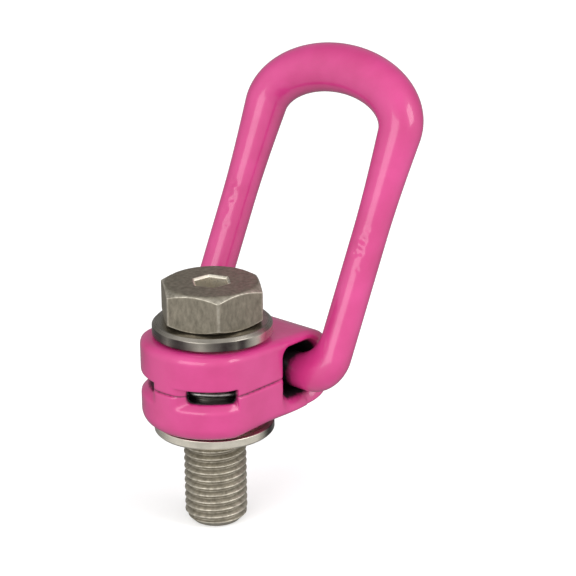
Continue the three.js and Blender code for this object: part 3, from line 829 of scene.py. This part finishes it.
def shackle_body():
    cell = 0.46
    margin = np.full(3, 2 * cell)
    points, faces = surface_net(
        body_distance, np.array(body_low) - margin, np.array(body_high) + margin, cell)
    x, y, z = points.T
    # Painted shade: darker the deeper a point lies in tunnel, windows and bore, and dark along the
    # seam.
    painted_shade = smoothstep(-body_blank(x, y, z), *SHADE_DEPTHS)
    return piece("forged_body", points, faces, PINK, "swivel_body",
                 "shackle_body", mask=np.maximum(painted_shade, SEAM_DARKNESS * seam_share(x, z)))


# ---------------------------------------------------------------- load ring

def wire_radius(height):
    return WIRE_RADIUS + SWELL * smoothstep(height, *SWELL_HEIGHTS)


def ring_edge(side, corner, spacing=0.6):
    """Points of one edge of the ring in its own plane, across and up from the bar's centreline:
    the outer edge for a side of 1, the inner edge for a side of -1. Both edges' points match."""
    half = RING_WIDTH / 2
    shoulder = RING_HEIGHT - CROWN_RISE
    level = -side * WIRE_RADIUS
    turn = half + side * WIRE_RADIUS - corner
    bar, bend, leg, crown = (round(length / spacing) for length in (
        RING_WIDTH - 2 * RING_OUTER_CORNER, RING_OUTER_CORNER * math.pi / 2,
        shoulder - RING_OUTER_CORNER, math.pi * math.hypot(half, CROWN_RISE) / math.sqrt(2)))

    def line(start, end, count):
        t = np.linspace(0, 1, count, endpoint=False)[:, None]
        return np.array(start) * (1 - t) + np.array(end) * t

    def arc(centre, radii, first, last, count):
        angle = np.linspace(first, last, count, endpoint=False)
        return np.array(centre) + np.stack([radii[0] * np.cos(angle), radii[1] * np.sin(angle)], 1)

    def swollen(centre, out):
        return centre + side * wire_radius(centre[:, 1])[:, None] * out

    foot = level + corner
    crown_line = arc((0, shoulder), (half, CROWN_RISE), 0, math.pi, crown)
    crown_out = (crown_line - (0, shoulder)) / (half ** 2, CROWN_RISE ** 2)
    crown_out /= np.linalg.norm(crown_out, axis=1, keepdims=True)
    return np.concatenate([
        line((-turn, level), (turn, level), bar),
        arc((turn, foot), (corner, corner), -math.pi / 2, 0, bend),
        swollen(line((half, foot), (half, shoulder), leg), (1, 0)),
        swollen(crown_line, crown_out),
        swollen(line((-half, shoulder), (-half, foot), leg), (-1, 0)),
        arc((-turn, foot), (corner, corner), math.pi, 1.5 * math.pi, bend),
    ])


# Dents left by forging and use: side of the ring, height on it, turn round the wire in degrees,
# size and depth. A negative depth stands proud.
DENTS = (
    (-1, 59, 62, 0.9, 0.25), (-1, 54.6, 67, 1.3, 0.5), (-1, 52.4, 79, 1.1, -0.35),
    (-1, 50.4, 66, 1.3, 0.5), (-1, 48.6, 82, 1.1, 0.4), (-1, 44, 58, 1.0, 0.25),
    (1, 62, 99, 1.4, 0.45), (1, 59.8, 108, 1.1, -0.35), (1, 57.8, 95, 1.3, 0.45),
    (1, 55.4, 112, 1.1, 0.4), (1, 50.6, 97, 1.3, 0.4), (1, 45, 118, 1.0, 0.3),
)


def load_ring():
    """The ring's sections span from its outer to its inner edge. They are round along bar and
    legs and longer across the full corners."""
    sides = 64
    outer, inner = ring_edge(1, RING_OUTER_CORNER), ring_edge(-1, RING_INNER_CORNER)
    centre, half = (outer + inner) / 2, (outer - inner) / 2
    radius = wire_radius(centre[:, 1])
    turn = full_turn(sides)
    share = np.ones((len(centre), sides))
    for side, height, at, size, depth in DENTS:
        on_leg = np.sign(centre[:, 0]) == side
        along = np.where(on_leg, centre[:, 1] - height, 1e3)[:, None]
        round_wire = (turn - math.radians(at) + np.pi) % (2 * np.pi) - np.pi
        distance = np.hypot(along, radius[:, None] * round_wire)
        share -= depth * np.exp(-(distance / size) ** 2) / WIRE_RADIUS
    in_plane = centre[:, None] + (share * np.cos(turn))[..., None] * half[:, None]
    through = -share * np.sin(turn) * radius[:, None]
    upright = np.stack([through, in_plane[..., 0], in_plane[..., 1]], axis=-1).reshape(-1, 3)
    lean = np.array(Matrix.Rotation(RING_LEAN, 3, "Y"))
    points = upright @ lean.T + np.array(PIVOT)
    faces = grid_faces(len(centre), sides, rows_close=True)
    # Painted shadow of the tunnel on the bar: dark where the bar runs inside the body.
    in_tunnel = 1 - smoothstep(np.abs(points[:, 1]), *TUNNEL_SHADOW_Y)
    on_bar = np.repeat(centre[:, 1] < WIRE_RADIUS, sides)
    return piece("forged_ring", points, faces, PINK, "load_ring", "load_ring",
                 mask=in_tunnel * on_bar)


# ---------------------------------------------------------------- clamping spring

SPRING_WIRE_RADIUS = 1
COIL_RADIUS = 19
COIL_PITCH = 2.6
COIL_TURNS = 1.5
COIL_BOTTOM = 20.6
LEG_BEND_X = 11
LEG_BEND_Z = (23.4, 25.2)
LEG_TIP_Y = 15.2
LEG_TIP_ANGLE = math.radians(135)
LEG_TIP_GAP = 0.3


def spring_route():
    """Points of the spring's centreline: a leg, the coil round the bush and the other leg. Both
    legs end just clear of the ring's bar."""
    reach = WIRE_RADIUS + SPRING_WIRE_RADIUS + LEG_TIP_GAP
    tip_x = PIVOT.x + reach * math.cos(LEG_TIP_ANGLE)
    tip_z = PIVOT.z + reach * math.sin(LEG_TIP_ANGLE)
    first_leg = [(tip_x, -LEG_TIP_Y, tip_z), (LEG_BEND_X, -COIL_RADIUS, LEG_BEND_Z[0])]
    last_leg = [(LEG_BEND_X, COIL_RADIUS, LEG_BEND_Z[1]), (tip_x, LEG_TIP_Y, tip_z)]
    coil = []
    steps = 72
    for i in range(steps + 1):
        turn = COIL_TURNS * i / steps
        angle = -math.pi / 2 - 2 * math.pi * turn
        coil.append((COIL_RADIUS * math.cos(angle), COIL_RADIUS * math.sin(angle),
                     COIL_BOTTOM + COIL_PITCH * turn))
    return [*first_leg, *coil, *last_leg]


def clamping_spring():
    """Round wire swept along a smooth curve through the route's points."""
    sides, spacing = 20, 0.5
    route = np.array(spring_route())
    smooth = []
    for i in range(len(route) - 1):
        before = route[max(i - 1, 0)]
        after = route[min(i + 2, len(route) - 1)]
        a, b = route[i], route[i + 1]
        steps = max(2, round(np.linalg.norm(b - a) / spacing))
        for t in np.arange(steps) / steps:
            smooth.append(0.5 * (2 * a + (b - before) * t
                                 + (2 * before - 5 * a + 4 * b - after) * t ** 2
                                 + (3 * a - before - 3 * b + after) * t ** 3))
    centre = np.array([*smooth, route[-1]])
    along = np.gradient(centre, axis=0)
    along /= np.linalg.norm(along, axis=1, keepdims=True)
    side = np.cross(along, (0, 0, 1))
    side /= np.linalg.norm(side, axis=1, keepdims=True)
    up = np.cross(side, along)
    turn = full_turn(sides)[None, :, None]
    around = np.cos(turn) * side[:, None] - np.sin(turn) * up[:, None]
    points = centre[:, None] + SPRING_WIRE_RADIUS * around
    faces = grid_faces(len(centre), sides)
    points, faces = capped(points.reshape(-1, 3), faces, len(centre), sides,
                           centre[0], centre[-1])
    return piece("spring", points, faces, SPRING, "swivel_body",
                 "clamping_spring")


# ---------------------------------------------------------------- stage, light and camera

TENT_AZIMUTH = math.radians(222)
TENT_FRONT = 0.95
TENT_BACK = 0.28
TENT_BELOW = 0.68
FLOOR_GLOW = 0.35
SOFTBOX_AIM = Vector((0.03, 0, 0.05))
SOFTBOX_DISTANCE = 1.4


def floor():
    """Plain pale floor just under the bolt's tip."""
    bpy.ops.mesh.primitive_plane_add(size=12, location=(0, 0, (BOLT_TIP - 0.2) * MM))
    made = bpy.context.object
    made.name = "floor"
    finish = Finish("pale_floor", Roughness=0.8, Specular_IOR_Level=0.1)
    finish.surface(
        Base_Color=finish.ramp(finish.noise(0.02), 0.4, 0.6, 0.93, 0.95),
        Emission_Color=(1, 1, 1, 1), Emission_Strength=FLOOR_GLOW,
    )
    made.data.materials.append(finish.material)
    made.visible_diffuse = False
    made.visible_glossy = False


def softbox(name, azimuth, elevation, size, power):
    """Rectangular area light of a size in metres that faces the object from a direction in
    degrees."""
    a, e = math.radians(azimuth), math.radians(elevation)
    back = Vector((math.cos(a) * math.cos(e), math.sin(a) * math.cos(e), math.sin(e)))
    light = bpy.data.lights.new(name, "AREA")
    light.shape = "RECTANGLE"
    light.size, light.size_y = size
    light.energy = power
    made = bpy.data.objects.new(name, light)
    made.location = SOFTBOX_AIM + back * SOFTBOX_DISTANCE
    made.rotation_euler = (-back).to_track_quat("-Z", "Y").to_euler()
    bpy.context.scene.collection.objects.link(made)


def surroundings():
    """Light tent: white in front of the object, darker behind it and below it. Looked at directly
    it is as white as the floor."""
    world = bpy.data.worlds.new("studio")
    world.use_nodes = True
    bpy.context.scene.world = world
    nodes, links = world.node_tree.nodes, world.node_tree.links
    direction = nodes.new("ShaderNodeTexCoord").outputs["Generated"]

    def along(axis, low, high, to_low, to_high):
        facing = nodes.new("ShaderNodeVectorMath")
        facing.operation = "DOT_PRODUCT"
        facing.inputs[1].default_value = axis
        share = nodes.new("ShaderNodeMapRange")
        share.interpolation_type = "SMOOTHSTEP"
        for socket, value in (("From Min", low), ("From Max", high),
                              ("To Min", to_low), ("To Max", to_high)):
            share.inputs[socket].default_value = value
        links.new(direction, facing.inputs[0])
        links.new(facing.outputs["Value"], share.inputs["Value"])
        return share.outputs["Result"]

    product = nodes.new("ShaderNodeMath")
    product.operation = "MULTIPLY"
    front = (math.cos(TENT_AZIMUTH), math.sin(TENT_AZIMUTH), 0)
    links.new(along(front, -0.75, 0.2, TENT_BACK, TENT_FRONT), product.inputs[0])
    links.new(along((0, 0, 1), -0.9, 0.1, TENT_BELOW, 1), product.inputs[1])
    backdrop = nodes.new("ShaderNodeMath")
    backdrop.operation = "MAXIMUM"
    links.new(product.outputs[0], backdrop.inputs[0])
    links.new(nodes.new("ShaderNodeLightPath").outputs["Is Camera Ray"], backdrop.inputs[1])
    links.new(backdrop.outputs[0], nodes["Background"].inputs["Strength"])
    nodes["Background"].inputs["Color"].default_value = (1, 1, 1, 1)


CAMERA_AZIMUTH = math.radians(-47.88)
CAMERA_ELEVATION = math.radians(19.84)
CAMERA_ROLL = math.radians(0.70)
CAMERA_DISTANCE = 956
CAMERA_LENS = 158.8
AIM_HEIGHT = 40
AIM_RIGHT = 28.63
AIM_UP = 15.19


def camera():
    """Long lens, a little above the object, on the side of the ring's back."""
    a, e, roll = CAMERA_AZIMUTH, CAMERA_ELEVATION, CAMERA_ROLL
    back = Vector((math.sin(a) * math.cos(e), -math.cos(a) * math.cos(e), math.sin(e)))
    right = Vector((math.cos(a), math.sin(a), 0))
    up = back.cross(right)
    data = bpy.data.cameras.new("camera")
    data.lens = CAMERA_LENS
    data.sensor_width = 36
    data.clip_start, data.clip_end = 0.01, 50
    made = bpy.data.objects.new("camera", data)
    place = Vector((0, 0, AIM_HEIGHT)) + back * CAMERA_DISTANCE + right * AIM_RIGHT + up * AIM_UP
    across = right * math.cos(roll) - up * math.sin(roll)
    upwards = right * math.sin(roll) + up * math.cos(roll)
    axes = Matrix((across, upwards, back)).transposed().to_4x4()
    made.matrix_world = Matrix.Translation(place * MM) @ axes
    bpy.context.scene.collection.objects.link(made)
    bpy.context.scene.camera = made


# ---------------------------------------------------------------- the scene

flanged_bush()
top_collar()
hex_bolt()
retaining_ring()
shackle_body()
load_ring()
clamping_spring()

floor()
surroundings()
softbox("left", azimuth=189, elevation=24, size=(1.0, 0.9), power=5.8)
softbox("right", azimuth=285, elevation=36, size=(0.6, 0.8), power=5)
camera()
bpy.context.scene.view_settings.view_transform = "Standard"
